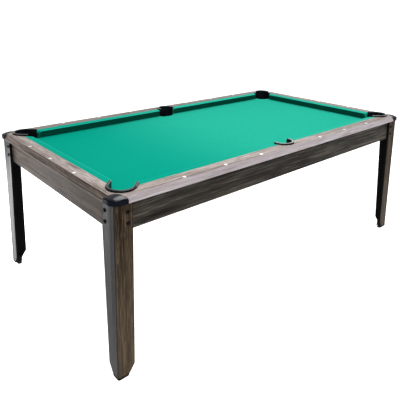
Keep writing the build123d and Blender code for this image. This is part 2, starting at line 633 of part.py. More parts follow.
# Levelling feet: pad on the floor, stud with a hexagon that turns in the pad and the insert
pad_points = [
    (0, 0),
    (PAD_R - PAD_BEVEL, 0),
    (PAD_R, PAD_BEVEL),
    (PAD_R, PAD_EDGE),
    (HEX_FLATS / 2 + PAD_NECK, PAD_H),
    (0, PAD_H),
]
pad_face = Plane.XZ * make_face(Polyline(*pad_points, close=True))
pad = Pos(foot_x, foot_y, 0) * revolve(pad_face, Axis.Z)
pad = pad - rod(foot_x, foot_y, PAD_SEAT, PAD_H + CUT_PAST, PIVOT_D + 2 * FIT)
hexagon = extrude(RegularPolygon(HEX_FLATS / 2, 6, major_radius=False), HEX_H)
stud = Pos(foot_x, foot_y, PAD_H) * hexagon
stud = stud + rod(foot_x, foot_y, PAD_SEAT, PAD_H, PIVOT_D)
stud = stud + rod(foot_x, foot_y, FLANGE_LOW, STUD_TOP, STUD_D)
inserts = []
for tag, (sx, sy) in CORNERS.items():
    parts["shoe_" + tag] = quad(shoe, sx, sy)
    parts["foot_pad_" + tag] = quad(pad, sx, sy)
    parts["foot_stud_" + tag] = quad(stud, sx, sy)
    inserts.append(quad(insert, sx, sy))
parts["foot_inserts"] = Compound(children=inserts)

os.makedirs("parts", exist_ok=True)
for name, shape in parts.items():
    export_step(shape, "parts/%s.step" % name)
print(len(parts), "pieces")
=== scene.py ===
import math

import bmesh
import bpy
from mathutils import Matrix, Vector


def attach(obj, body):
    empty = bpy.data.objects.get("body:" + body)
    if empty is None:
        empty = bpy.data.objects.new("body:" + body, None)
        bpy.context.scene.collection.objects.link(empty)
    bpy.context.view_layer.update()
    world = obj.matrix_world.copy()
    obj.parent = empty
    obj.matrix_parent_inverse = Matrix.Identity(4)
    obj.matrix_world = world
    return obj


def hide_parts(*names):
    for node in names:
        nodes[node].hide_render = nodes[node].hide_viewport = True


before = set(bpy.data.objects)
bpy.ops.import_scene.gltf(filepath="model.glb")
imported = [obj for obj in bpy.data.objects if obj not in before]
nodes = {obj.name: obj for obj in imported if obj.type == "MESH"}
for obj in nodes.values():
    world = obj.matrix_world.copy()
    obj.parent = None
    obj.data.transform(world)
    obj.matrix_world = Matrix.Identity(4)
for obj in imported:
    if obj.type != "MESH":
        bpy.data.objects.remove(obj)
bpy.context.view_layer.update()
MM = 0.001

# Sizes in millimetres, as in the part. Offsets count outwards from the nose line of the cushions.
FIELD_X, FIELD_Y, TOP = 990.0, 500.0, 812.0
CUSHION_W, CUSHION_H, NOSE_DROP, NOSE_FACE, CUSHION_FOOT = 38.0, 45.0, 3.0, 3.5, 14.0
BED_TOP, CLOTH_T, BED_EDGE = TOP - CUSHION_H, 1.0, 72.0
CORNER_OFF, CORNER_R, SIDE_OFF, SIDE_R, GAP = 12.0, 57.0, 20.0, 52.0, 0.3
SIDE_MOUTH, SIDE_LIP, SIDE_LIP_R, LEG_OUT = 64.0, 20.0, 110.0, 102.0
CORNERS = {"fl": (-1, -1), "fr": (1, -1), "bl": (-1, 1), "br": (1, 1)}

# Leg bolts: shank, domed head and hexagon socket.
BOLT_R, BOLT_L, BOLT_HEAD_R, BOLT_HEAD_H, BOLT_ROUND = 4.0, 26.0, 8.5, 5.0, 3.5
SOCKET_FLATS, SOCKET_MOUTH, SOCKET_LIP, SOCKET_DEEP = 5.0, 5.5, 0.3, 3.2
BOLT_X, BOLT_Y, BOLT_Z = 1030.0, 530.0, (744.0, 697.0)

# Rail bolts, which pass through the bed cloth.
RAIL_BOLT_OFF, RAIL_BOLT_HOLE = 55.0, 4.3
RAIL_BOLT_X, RAIL_BOLT_Y = (151.9, 480.2, 803.6), (-269.5, 0.0, 269.5)
RAIL_BOLTS = [(s * x, t * (FIELD_Y + RAIL_BOLT_OFF)) for x in RAIL_BOLT_X for s in (-1, 1) for t in (-1, 1)]
RAIL_BOLTS += [(s * (FIELD_X + RAIL_BOLT_OFF), y) for s in (-1, 1) for y in RAIL_BOLT_Y]

# In metres. The floor leaves room for the feet when they are wound out.
FLOOR = -12.5 * MM
FLOOR_RADII, SWEEP = (20.0, 45.0), 16.0


# Node helpers: each returns an output socket.
def put(tree, socket, value):
    if isinstance(value, bpy.types.NodeSocket):
        tree.links.new(value, socket)
    elif value is not None:
        socket.default_value = value


def make(tree, kind, **props):
    node = tree.nodes.new(kind)
    for key, value in props.items():
        setattr(node, key, value)
    return node


def place(tree, scale, offset=(0, 0, 0)):
    where = make(tree, "ShaderNodeTexCoord")
    node = make(tree, "ShaderNodeMapping")
    tree.links.new(where.outputs["Object"], node.inputs["Vector"])
    node.inputs["Scale"].default_value = scale
    node.inputs["Location"].default_value = offset
    return node.outputs["Vector"]


def noise(tree, vector, scale=1.0, detail=2.0, rough=0.5, bend=0.0):
    node = make(tree, "ShaderNodeTexNoise")
    tree.links.new(vector, node.inputs["Vector"])
    for key, value in (("Scale", scale), ("Detail", detail), ("Roughness", rough), ("Distortion", bend)):
        node.inputs[key].default_value = value
    return node.outputs["Fac"]


def wave(tree, vector, scale, bend, detail=2.0, along="X", profile="SIN"):
    node = make(tree, "ShaderNodeTexWave", wave_type="BANDS", bands_direction=along, wave_profile=profile)
    tree.links.new(vector, node.inputs["Vector"])
    for key, value in (("Scale", scale), ("Distortion", bend), ("Detail", detail), ("Detail Scale", 1.0)):
        node.inputs[key].default_value = value
    return node.outputs["Fac"]


def cells(tree, vector, scale):
    node = make(tree, "ShaderNodeTexVoronoi")
    tree.links.new(vector, node.inputs["Vector"])
    node.inputs["Scale"].default_value = scale
    return node.outputs["Distance"]


def sums(tree, op, a, b):
    node = make(tree, "ShaderNodeMath", operation=op)
    put(tree, node.inputs[0], a)
    put(tree, node.inputs[1], b)
    return node.outputs[0]


def remap(tree, value, a, b, c=0.0, d=1.0, smooth=False):
    node = make(tree, "ShaderNodeMapRange", interpolation_type="SMOOTHSTEP" if smooth else "LINEAR")
    put(tree, node.inputs["Value"], value)
    for key, number in (("From Min", a), ("From Max", b), ("To Min", c), ("To Max", d)):
        node.inputs[key].default_value = number
    return node.outputs["Result"]


def ramp(tree, value, stops):
    node = make(tree, "ShaderNodeValToRGB")
    put(tree, node.inputs["Fac"], value)
    points = node.color_ramp.elements
    while len(points) < len(stops):
        points.new(0.5)
    for point, (at, colour) in zip(points, stops):
        point.position = at
        point.color = (*colour, 1.0)
    return node.outputs["Color"]


def mix(tree, factor, a, b):
    node = make(tree, "ShaderNodeMix", data_type="RGBA")
    put(tree, node.inputs[0], factor)
    for socket, value in ((node.inputs[6], a), (node.inputs[7], b)):
        put(tree, socket, (*value, 1.0) if isinstance(value, tuple) else value)
    return node.outputs[2]


def bump(tree, height, strength, distance, normal=None):
    node = make(tree, "ShaderNodeBump")
    put(tree, node.inputs["Height"], height)
    node.inputs["Strength"].default_value = strength
    node.inputs["Distance"].default_value = distance
    put(tree, node.inputs["Normal"], normal)
    return node.outputs["Normal"]


def soft_edge(tree, radius):
    node = make(tree, "ShaderNodeBevel", samples=4)
    node.inputs["Radius"].default_value = radius
    return node.outputs["Normal"]


def facing(tree, normal, direction):
    """How far a surface faces along the given direction, from -1 to 1."""
    node = make(tree, "ShaderNodeVectorMath", operation="DOT_PRODUCT")
    tree.links.new(normal, node.inputs[0])
    node.inputs[1].default_value = direction
    return node.outputs["Value"]


def edge_wear(tree, rounded):
    """1 along sharp edges, 0 on flats."""
    flat = make(tree, "ShaderNodeNewGeometry").outputs["True Normal"]
    node = make(tree, "ShaderNodeVectorMath", operation="DOT_PRODUCT")
    tree.links.new(rounded, node.inputs[0])
    tree.links.new(flat, node.inputs[1])
    return remap(tree, node.outputs["Value"], 0.995, 0.9, 0.0, 1.0)


def begin(name, **sockets):
    material = bpy.data.materials.new(name)
    material.use_nodes = True
    tree = material.node_tree
    shader = tree.nodes["Principled BSDF"]
    for key, value in sockets.items():
        shader.inputs[key.replace("_", " ")].default_value = value
    return material, tree, shader


def stretch(axis, along, across):
    """Texture scale along the grain and across it."""
    return tuple(along if k == axis else across for k in "xyz")


def grain(tree, axis, seed, width=1.0):
    """Figure, growth lines and pores of a laminated plank whose grain runs along the axis."""
    shift = (seed * 3.17, seed * 1.71, seed * 2.39)
    figure = noise(tree, place(tree, stretch(axis, 0.9, 13.0 * width), shift), 1.0, 3.0, 0.55, 0.9)
    lines = noise(tree, place(tree, stretch(axis, 2.4, 100.0 * width), shift), 1.0, 4.0, 0.64, 0.6)
    pores = noise(tree, place(tree, stretch(axis, 10.0, 380.0 * width), shift), 1.0, 3.0, 0.62)
    return figure, lines, pores


def plank(tree, axis, seed, tones, width=1.0, flecks=(17.0, 0.6, 0.45)):
    """Colour, height and figure of a plank from four tones, dark to light.

    flecks holds the stretch along the grain and the strength of the dark and the pale flecks.
    """
    figure, lines, pores = grain(tree, axis, seed, width)
    depth = sums(tree, "ADD", sums(tree, "MULTIPLY", figure, 0.44), sums(tree, "MULTIPLY", lines, 0.56))
    base = ramp(tree, depth, list(zip((0.36, 0.455, 0.535, 0.63), tones)))
    pore = remap(tree, pores, 0.50, 0.38, 0.0, 0.7)
    flame = noise(tree, place(tree, stretch(axis, 3.0, 34.0), (seed, 2 * seed, 5)), 1.0, 2.0, 0.5, 0.7)
    colour = mix(tree, remap(tree, flame, 0.58, 0.72, 0.0, 0.75), base, tones[0])
    colour = mix(tree, pore, colour, tones[0])
    run, dark, pale = flecks
    fleck = noise(tree, place(tree, stretch(axis, run, 150.0), (3 * seed, seed, 9)), 1.0, 2.0, 0.55, 0.3)
    colour = mix(tree, remap(tree, fleck, 0.56, 0.68, 0.0, dark), colour, tones[0])
    colour = mix(tree, remap(tree, fleck, 0.42, 0.32, 0.0, pale), colour, tones[3])
    knots = cells(tree, place(tree, stretch(axis, 2.1, 15.0), (seed, seed, 3)), 1.0)
    knots = sums(tree, "ADD", knots, sums(tree, "MULTIPLY", lines, 0.25))
    colour = mix(tree, remap(tree, knots, 0.30, 0.20, 0.0, 0.8), colour, tones[0])
    height = sums(tree, "ADD", sums(tree, "MULTIPLY", pores, 0.7), sums(tree, "MULTIPLY", lines, 0.3))
    return colour, height, figure


def rail_wood(name, axis, seed, top_tones, band_painted_tones, painted_shade_ends):
    """Laminated rail: a top darkened from end to end by painted shade, and other tones on the bevelled band,
    a painted sky reflection on the long rails and painted shade on the short ones.
    """
    material, tree, shader = begin(name, Specular_IOR_Level=0.05)
    colour, height, figure = plank(tree, axis, seed, top_tones)
    # Painted shade: the top darkens along the rail from one end to the other.
    along = make(tree, "ShaderNodeSeparateXYZ")
    tree.links.new(place(tree, (1, 1, 1)), along.inputs[0])
    reach = (FIELD_X if axis == "x" else FIELD_Y) * MM
    shade = remap(tree, along.outputs[axis.upper()], -reach, reach, 1.0 - painted_shade_ends[0], 1.0 - painted_shade_ends[1], True)
    colour = mix(tree, shade, colour, (0, 0, 0))
    # The band's tones are painted light: a sky reflection on the long rails, shade on the short ones.
    side, _, _ = plank(tree, axis, seed + 4, band_painted_tones, 1.0, (17.0, 0.3, 0.3))
    up = facing(tree, make(tree, "ShaderNodeNewGeometry").outputs["Normal"], (0, 0, 1))
    colour = mix(tree, remap(tree, up, 0.93, 0.75), colour, side)
    rounded = soft_edge(tree, 0.0012)
    wear = sums(tree, "MULTIPLY", edge_wear(tree, rounded), 0.15)
    colour = mix(tree, wear, colour, (0.60, 0.55, 0.53))
    tree.links.new(colour, shader.inputs["Base Color"])
    tree.links.new(remap(tree, figure, 0.3, 0.7, 0.36, 0.5), shader.inputs["Roughness"])
    tree.links.new(bump(tree, height, 0.35, 0.0005, rounded), shader.inputs["Normal"])
    return material


def board_wood(name, axis, seed, tones):
    """Laminated apron board."""
    material, tree, shader = begin(name, Specular_IOR_Level=0.03)
    colour, height, figure = plank(tree, axis, seed, tones, 1.0, (8.0, 0.55, 0.2))
    rounded = soft_edge(tree, 0.0010)
    wear = sums(tree, "MULTIPLY", edge_wear(tree, rounded), 0.3)
    colour = mix(tree, wear, colour, tuple(c * 1.35 for c in tones[3]))
    tree.links.new(colour, shader.inputs["Base Color"])
    tree.links.new(remap(tree, figure, 0.3, 0.7, 0.36, 0.52), shader.inputs["Roughness"])
    tree.links.new(bump(tree, height, 0.35, 0.0005, rounded), shader.inputs["Normal"])
    return material


def leg_wood(name, seed, tones, outward, coat):
    """Laminate with a streaked gloss on the outer face; black edging, back and lower end."""
    material, tree, shader = begin(name, Coat_Roughness=0.16, Specular_IOR_Level=0.015)
    colour, height, figure = plank(tree, "z", seed, tones, 1.25)
    level = make(tree, "ShaderNodeSeparateXYZ")
    tree.links.new(place(tree, (1, 1, 1)), level.inputs[0])
    streak = noise(tree, place(tree, (36, 36, 0.9), (seed, 4, 2)), 1.0, 3.0, 0.6, 0.4)
    pale = remap(tree, level.outputs["Z"], 0.75, 0.2, 0.0, 0.28, True)
    colour = mix(tree, pale, colour, tones[3])
    out = facing(tree, make(tree, "ShaderNodeNewGeometry").outputs["Normal"], outward)
    shown = remap(tree, out, 0.28, 0.42)
    shown = sums(tree, "MULTIPLY", shown, remap(tree, level.outputs["Z"], 0.024, 0.027))
    speck = noise(tree, place(tree, (60, 60, 60)), 1.0, 2.0)
    black = mix(tree, speck, (0.0015, 0.0016, 0.0018), (0.004, 0.004, 0.0045))
    tree.links.new(mix(tree, shown, black, colour), shader.inputs["Base Color"])
    satin = remap(tree, figure, 0.3, 0.7, 0.26, 0.42)
    dull = remap(tree, shown, 1.0, 0.0, 0.0, 0.7)
    tree.links.new(sums(tree, "MAXIMUM", satin, dull), shader.inputs["Roughness"])
    gloss = remap(tree, streak, 0.38, 0.62, 0.30 * coat, 1.15 * coat)
    tree.links.new(sums(tree, "MULTIPLY", shown, gloss), shader.inputs["Coat Weight"])
    tree.links.new(bump(tree, height, 0.35, 0.0005, soft_edge(tree, 0.0010)), shader.inputs["Normal"])
    return material


def felt(name, base, dark, light, under=1.0, nose=None):
    """Woven cloth, paler across the surface by a painted sheen. under sets the painted shade that darkens
    what faces down; nose is the axis, place and strength of a painted highlight line.
    """
    material, tree, shader = begin(name, Sheen_Weight=0.012, Sheen_Roughness=0.3, Specular_IOR_Level=0.01)
    shader.inputs["Sheen Tint"].default_value = (0.55, 1.0, 0.90, 1.0)
    wide = noise(tree, place(tree, (1.1, 1.6, 1.6)), 1.0, 2.0)
    # Painted sheen: the cloth pales along x and a little along y, towards where it is seen at grazing angles;
    # wide noise adds mottling.
    across = make(tree, "ShaderNodeSeparateXYZ")
    tree.links.new(place(tree, (1, 0.35, 0)), across.inputs[0])
    drift = remap(tree, across.outputs[0], -0.75, 0.1, -0.05, 0.85, True)
    painted_sheen_and_mottle = sums(tree, "ADD", drift, sums(tree, "MULTIPLY", wide, 0.15))
    nap = noise(tree, place(tree, (70, 150, 110), (5, 2, 1)), 1.0, 3.0, 0.6)
    fibre = noise(tree, place(tree, (900, 1500, 1200), (1, 7, 3)), 1.0, 2.0, 0.65)
    warp = wave(tree, place(tree, (1, 1, 1)), 420.0, 0.6, 1.0, "X")
    weft = wave(tree, place(tree, (1, 1, 1)), 420.0, 0.6, 1.0, "Y")
    colour = mix(tree, painted_sheen_and_mottle, base, light)
    colour = mix(tree, remap(tree, nap, 0.58, 0.36, 0.0, 0.22), colour, dark)
    colour = mix(tree, remap(tree, fibre, 0.6, 0.75, 0.0, 0.25), colour, tuple(1.6 * c for c in light))
    if nose:
        # Painted highlight: a paler band just behind the nose line, where the cloth over the rounded nose
        # catches the light.
        apart = make(tree, "ShaderNodeSeparateXYZ")
        tree.links.new(place(tree, (1, 1, 1)), apart.inputs[0])
        side, edge, strength = nose
        reach = sums(tree, "ABSOLUTE", apart.outputs[side], 0.0)
        line = remap(tree, reach, edge + 0.007, edge + 0.002, 0.0, strength, True)
        colour = mix(tree, line, colour, (0.045, 0.46, 0.36))
    # Painted shade: what faces down takes a darkened copy of the dark tone.
    if under < 1.0:
        up = facing(tree, make(tree, "ShaderNodeNewGeometry").outputs["Normal"], (0, 0, 1))
        colour = mix(tree, remap(tree, up, 0.15, -0.25), colour, tuple(under * c for c in dark))
    tree.links.new(colour, shader.inputs["Base Color"])
    tree.links.new(remap(tree, nap, 0.3, 0.7, 0.86, 0.98), shader.inputs["Roughness"])
    cross = sums(tree, "MULTIPLY", warp, weft)
    height = sums(tree, "ADD", sums(tree, "MULTIPLY", cross, 0.4), fibre)
    tree.links.new(bump(tree, height, 0.4, 0.0003), shader.inputs["Normal"])
    return material


def moulded(name, dark, light, rough, coat, shine, rise=(0.2, 0.8)):
    """Moulded plastic with a fine spark texture and slight handling marks, glossier where it faces up."""
    material, tree, shader = begin(name, Coat_Roughness=0.12, Specular_IOR_Level=shine)
    up = facing(tree, make(tree, "ShaderNodeNewGeometry").outputs["Normal"], (0, 0, 1))
    tree.links.new(remap(tree, up, *rise, 0.0, coat), shader.inputs["Coat Weight"])
    cloud = noise(tree, place(tree, (14, 14, 14)), 1.0, 3.0)
    spark = noise(tree, place(tree, (1400, 1400, 1400)), 1.0, 2.0, 0.6)
    rub = noise(tree, place(tree, (30, 30, 240), (2, 4, 6)), 1.0, 3.0)
    rounded = soft_edge(tree, 0.0008)
    colour = mix(tree, remap(tree, cloud, 0.3, 0.7), dark, light)
    wear = sums(tree, "MULTIPLY", edge_wear(tree, rounded), 0.25)
    colour = mix(tree, wear, colour, tuple(3.0 * c for c in light))
    tree.links.new(colour, shader.inputs["Base Color"])
    mark = remap(tree, rub, 0.55, 0.75, 0.0, 0.12)
    tree.links.new(sums(tree, "ADD", remap(tree, cloud, 0.3, 0.7, *rough), mark), shader.inputs["Roughness"])
    tree.links.new(bump(tree, spark, 0.25, 0.00015, rounded), shader.inputs["Normal"])
    return material


def pearl(name):
    """White inlay with a faint swirl."""
    material, tree, shader = begin(name, Roughness=0.25, Coat_Weight=0.5, Coat_Roughness=0.1)
    swirl = noise(tree, place(tree, (160, 160, 160)), 1.0, 3.0, 0.6, 1.2)
    stops = [(0.3, (0.78, 0.78, 0.80)), (0.5, (0.90, 0.90, 0.90)), (0.7, (0.97, 0.96, 0.94))]
    colour = ramp(tree, swirl, stops)
    tree.links.new(colour, shader.inputs["Base Color"])
    tree.links.new(bump(tree, swirl, 0.1, 0.0001), shader.inputs["Normal"])
    return material


def steel(name, dark, light, metal, rough, thread=0.0):
    """Plated or blacked steel; thread is the scale of a stud's thread, 0 for none."""
    material, tree, shader = begin(name, Metallic=metal, Specular_IOR_Level=0.5 if metal else 0.05)
    spangle = cells(tree, place(tree, (220, 220, 220)), 1.0)
    brush = noise(tree, place(tree, (600, 600, 90)), 1.0, 3.0)
    tree.links.new(mix(tree, remap(tree, spangle, 0.0, 0.8), dark, light), shader.inputs["Base Color"])
    tree.links.new(remap(tree, brush, 0.3, 0.7, *rough), shader.inputs["Roughness"])
    normal = bump(tree, brush, 0.2, 0.0002, soft_edge(tree, 0.0005))
    if thread:
        turns = wave(tree, place(tree, (1, 1, 1)), thread, 0.0, 0.0, "Z", "TRI")
        normal = bump(tree, turns, 0.9, 0.0006, normal)
    tree.links.new(normal, shader.inputs["Normal"])
    return material


def chipboard(name):
    """Raw pressed board."""
    material, tree, shader = begin(name, Specular_IOR_Level=0.25)
    chips = cells(tree, place(tree, (260, 260, 260)), 1.0)
    dust = noise(tree, place(tree, (900, 900, 900)), 1.0, 3.0)
    depth = sums(tree, "ADD", sums(tree, "MULTIPLY", chips, 0.6), sums(tree, "MULTIPLY", dust, 0.4))
    stops = [(0.2, (0.17, 0.125, 0.085)), (0.45, (0.30, 0.235, 0.17)), (0.7, (0.40, 0.33, 0.25))]
    colour = ramp(tree, depth, stops)
    tree.links.new(colour, shader.inputs["Base Color"])
    tree.links.new(remap(tree, dust, 0.3, 0.7, 0.75, 0.92), shader.inputs["Roughness"])
    tree.links.new(bump(tree, chips, 0.5, 0.0004, soft_edge(tree, 0.0008)), shader.inputs["Normal"])
    return material


def painted(name, axis):
    """Black paint over a planed beam."""
    material, tree, shader = begin(name, Specular_IOR_Level=0.35)
    figure, lines, pores = grain(tree, axis, 9)
    colour = mix(tree, lines, (0.010, 0.010, 0.011), (0.028, 0.027, 0.026))
    tree.links.new(colour, shader.inputs["Base Color"])
    tree.links.new(remap(tree, figure, 0.3, 0.7, 0.5, 0.7), shader.inputs["Roughness"])
    tree.links.new(bump(tree, pores, 0.5, 0.0005, soft_edge(tree, 0.0012)), shader.inputs["Normal"])
    return material


def rubber(name):
    """Black rubber with a little dirt."""
    material, tree, shader = begin(name, Specular_IOR_Level=0.05)
    grit = noise(tree, place(tree, (700, 700, 700)), 1.0, 3.0, 0.7)
    dirt = noise(tree, place(tree, (60, 60, 200)), 1.0, 3.0)
    soiled = remap(tree, dirt, 0.55, 0.8, 0.0, 0.5)
    colour = mix(tree, soiled, (0.004, 0.004, 0.0043), (0.014, 0.0136, 0.013))
    tree.links.new(colour, shader.inputs["Base Color"])
    tree.links.new(remap(tree, grit, 0.3, 0.7, 0.6, 0.85), shader.inputs["Roughness"])
    tree.links.new(bump(tree, grit, 0.4, 0.0003, soft_edge(tree, 0.0008)), shader.inputs["Normal"])
    return material


# Wood tones, dark to light: rail tops, the bands of the long and short rails, the aprons and the leg boards.
OAK = [(0.116, 0.086, 0.073), (0.262, 0.216, 0.195), (0.380, 0.327, 0.303), (0.472, 0.418, 0.396)]
# Painted sky reflection: the paler, cooler band of the long rails.
PAINTED_SKY_BAND = [(0.195, 0.167, 0.170), (0.268, 0.236, 0.244), (0.320, 0.288, 0.302), (0.385, 0.354, 0.374)]
# Painted shade: the darker band of the short rails.
UMBER = [(0.032, 0.024, 0.020), (0.084, 0.066, 0.055), (0.128, 0.104, 0.089), (0.184, 0.152, 0.132)]
SMOKE = [(0.0050, 0.0042, 0.0033), (0.0225, 0.0200, 0.0162),
         (0.0470, 0.0424, 0.0352), (0.0980, 0.0895, 0.0760)]
TAUPE = [(0.0130, 0.0088, 0.0064), (0.0390, 0.0284, 0.0220),
         (0.0640, 0.0485, 0.0392), (0.1020, 0.0800, 0.0665)]
# Painted sky reflection: the cool grey of the short leg boards, the same wood as the brown long boards.
PAINTED_SKY_LEG = [(0.0010, 0.0010, 0.0011), (0.0040, 0.0038, 0.0040),
         (0.0090, 0.0087, 0.0092), (0.0260, 0.0255, 0.0274)]
UMBER_LEG = [(0.0050, 0.0028, 0.0014), (0.0230, 0.0148, 0.0085),
             (0.0470, 0.0328, 0.0205), (0.0980, 0.0730, 0.0490)]

# Cloth tones: base, dark and light; the painted sheen across the cloth runs towards the light tone.
GREEN = ((0.0002, 0.262, 0.188), (0.0001, 0.220, 0.156), (0.0160, 0.355, 0.250))
# Painted shade under the cushions: the share of the dark tone kept on faces that look down.
PAINTED_UNDER_SHADE = 0.27

cloth = felt("baize", *GREEN)
# Each cushion side has its own strength of painted highlight behind the nose, and painted shade below.
wraps = {
    "front": felt("cushion_baize_front", *GREEN, PAINTED_UNDER_SHADE, ("Y", FIELD_Y * MM, 0.18)),
    "back": felt("cushion_baize_back", *GREEN, PAINTED_UNDER_SHADE, ("Y", FIELD_Y * MM, 0.30)),
    "left": felt("cushion_baize_left", *GREEN, PAINTED_UNDER_SHADE, ("X", FIELD_X * MM, 0.50)),
    "right": felt("cushion_baize_right", *GREEN, PAINTED_UNDER_SHADE, ("X", FIELD_X * MM, 0.30)),
}
liner = moulded("pocket_moulding", (0.0026, 0.0032, 0.0046), (0.0060, 0.0072, 0.0100),
                (0.24, 0.34), 0.9, 0.06, (0.55, 0.95))
capping = moulded("cap_moulding", (0.0022, 0.0030, 0.0055), (0.0050, 0.0066, 0.0110),
                  (0.14, 0.24), 1.0, 0.02, (0.55, 0.95))
shoeing = moulded("shoe_moulding", (0.0015, 0.0015, 0.0018), (0.0040, 0.0040, 0.0045), (0.5, 0.62), 0.0, 0.04)
blacked = steel("blacked_steel", (0.0012, 0.0012, 0.0014), (0.0032, 0.0032, 0.0036), 0.0, (0.4, 0.55))
zinc = steel("zinc_plate", (0.42, 0.43, 0.44), (0.62, 0.63, 0.63), 1.0, (0.28, 0.46))
stud = steel("stud_steel", (0.070, 0.072, 0.075), (0.130, 0.132, 0.136), 1.0, (0.30, 0.48), 105.0)
panel = chipboard("bed_panel")
beam = painted("beam_paint", "y")
foot = rubber("foot_rubber")
inlay = pearl("sight_pearl")


def dress(material, *names):
    for name in names:
        for item in nodes[name].material_slots:
            item.link = "OBJECT"
            item.material = material


# Each rail: the share of its top tone kept at the low and the high end, a painted shade along the top, and
# the tones of its bevelled band: painted sky reflection on the long rails, painted shade on the short ones.
RAIL_PAINTED_LIGHT = {
    "long_front": (1.0, 0.74, PAINTED_SKY_BAND), "long_back": (0.68, 0.47, PAINTED_SKY_BAND),
    "short_left": (0.97, 0.78, UMBER), "short_right": (0.82, 0.51, UMBER),
}
for k, (end, (low, high, band)) in enumerate(RAIL_PAINTED_LIGHT.items()):
    axis = "x" if end.startswith("long") else "y"
    dress(rail_wood(f"rail_{end}", axis, 1 + 2 * k, OAK, band, (low, high)), f"rail_{end}")
    tones = SMOKE if axis == "x" else TAUPE
    dress(board_wood(f"apron_{end}", axis, 11 + 2 * k, tones), f"apron_{end}")
for k, (corner, (sx, sy)) in enumerate(CORNERS.items()):
    outward = (sx * math.sqrt(0.5), sy * math.sqrt(0.5), 0)
    dress(leg_wood(f"leg_{corner}_long", 21 + k, UMBER_LEG, outward, 0.0), f"leg_{corner}_long")
    # The short boards take the grey tone that paints in the sky's reflection.
    dress(leg_wood(f"leg_{corner}_short", 31 + k, PAINTED_SKY_LEG, outward, 0.24), f"leg_{corner}_short")
    dress(liner, f"pocket_corner_{corner}")
    dress(capping, f"cap_{corner}")
    dress(shoeing, f"shoe_{corner}")
    dress(foot, f"foot_pad_{corner}")
    dress(stud, f"foot_stud_{corner}")
dress(liner, "pocket_side_front", "pocket_side_back")
dress(panel, "bed_board_left", "bed_board_mid", "bed_board_right")
dress(beam, "beam_1", "beam_2", "beam_3", "beam_4")
dress(inlay, "sights")
dress(blacked, "leg_bolts")
dress(zinc, "leg_nuts", "rail_bolts", "corner_brackets", "beam_brackets", "bracket_screws", "foot_inserts")


def add(name, bm, material, smooth=True):
    """A new piece of the table from a finished mesh."""
    mesh = bpy.data.meshes.new(name)
    bm.to_mesh(mesh)
    bm.free()
    piece = bpy.data.objects.new(name, mesh)
    bpy.context.scene.collection.objects.link(piece)
    mesh.materials.append(material)
    for face in mesh.polygons:
        face.use_smooth = smooth
    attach(piece, "table")
    return piece


# Rail cushions: rubber under stretched cloth, with a rounded nose, a slight crown and turned-in ends.
TUCK_W, NOSE_BACK, NOSE_ROUND, NOSE_DEEP = 2.2, 3.0, 2.6, 2.2
CROWN, BELLY = 0.6, 1.1
TOP_STEPS, NOSE_STEPS, FACE_STEPS, LONG_STEPS = 12, 9, 11, 44
END_ROUND, END_RUN, END_PULL = 5.0, 8.0, 30.0
END_LEAD = (0.0, 0.35, 1.0, 2.0, 3.4, 5.0, END_RUN)


def cushion_section():
    """(offset back from the nose line, drop below the rail top), once round, in millimetres."""
    tuck = CUSHION_W - TUCK_W
    points = [(CUSHION_W, 1.3), (CUSHION_W - 0.5, 1.5), (CUSHION_W - 1.2, 1.2), (tuck, 0.45)]
    for k in range(1, TOP_STEPS + 1):
        o = tuck + (NOSE_BACK - tuck) * k / TOP_STEPS
        points.append((o, NOSE_DROP * (1 - o / CUSHION_W) - CROWN * math.sin(math.pi * o / CUSHION_W)))
    for k in range(1, NOSE_STEPS):
        a = math.radians(96 + (200 - 96) * k / NOSE_STEPS)
        across = NOSE_ROUND + NOSE_ROUND * math.cos(a)
        points.append((across, NOSE_DROP + NOSE_DEEP - NOSE_ROUND * math.sin(a)))
    start = NOSE_DROP + NOSE_FACE
    for k in range(FACE_STEPS + 1):
        t = 0.03 + 0.97 * k / FACE_STEPS
        points.append((CUSHION_FOOT * t + BELLY * math.sin(math.pi * t), start + (CUSHION_H - start) * t))
    points += [(CUSHION_FOOT + (CUSHION_W - CUSHION_FOOT) * k / 4, CUSHION_H) for k in (1, 2, 3, 4)]
    points += [(CUSHION_W, 34.0), (CUSHION_W, 23.0), (CUSHION_W, 12.0)]
    return points


def cushion(name, wrap, low, high, place_at):
    """low and high give the ends along the rail for an offset.

    place_at turns (along, offset, drop) to x, y, z.
    """
    section = cushion_section()
    back, foot_drop = CUSHION_W - 3.0, CUSHION_H - 1.0
    span = high(CUSHION_W / 2) - low(CUSHION_W / 2)
    inner = [END_RUN + (span - 2 * END_RUN) * k / LONG_STEPS for k in range(1, LONG_STEPS)]
    steps = [(e, "low") for e in END_LEAD] + [(e, "mid") for e in inner]
    steps += [(e, "high") for e in reversed(END_LEAD)]
    bm = bmesh.new()
    rings = []
    for at, zone in steps:
        draw = 0.0
        if zone != "mid":
            draw = END_ROUND - math.sqrt(max(0.0, END_ROUND ** 2 - max(0.0, END_ROUND - at) ** 2))
        shrink = 1 - draw / END_PULL
        ring = []
        for o, d in section:
            # The ends draw in towards the foot at the back; the back and the underside stay flat.
            offset = CUSHION_W if o == CUSHION_W else back + (o - back) * shrink
            drop = CUSHION_H if d == CUSHION_H else foot_drop + (d - foot_drop) * shrink
            a, b = low(offset), high(offset)
            along = {"low": a + at, "mid": a + (b - a) * at / span, "high": b - at}[zone]
            ring.append(bm.verts.new(place_at(along, offset, drop)))
        rings.append(ring)
    count = len(section)
    for first, second in zip(rings, rings[1:]):
        for k in range(count):
            bm.faces.new((first[k], first[(k + 1) % count], second[(k + 1) % count], second[k]))
    bm.faces.new(list(reversed(rings[0])))
    bm.faces.new(rings[-1])
    bmesh.ops.recalc_face_normals(bm, faces=bm.faces[:])
    piece = add(f"{name}_wrapped", bm, wrap)
    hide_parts(name)


CORNER_CUT = (CORNER_R + GAP) * math.sqrt(2)
SIDE_LEAN = (SIDE_MOUTH - SIDE_R - GAP) / CUSHION_W


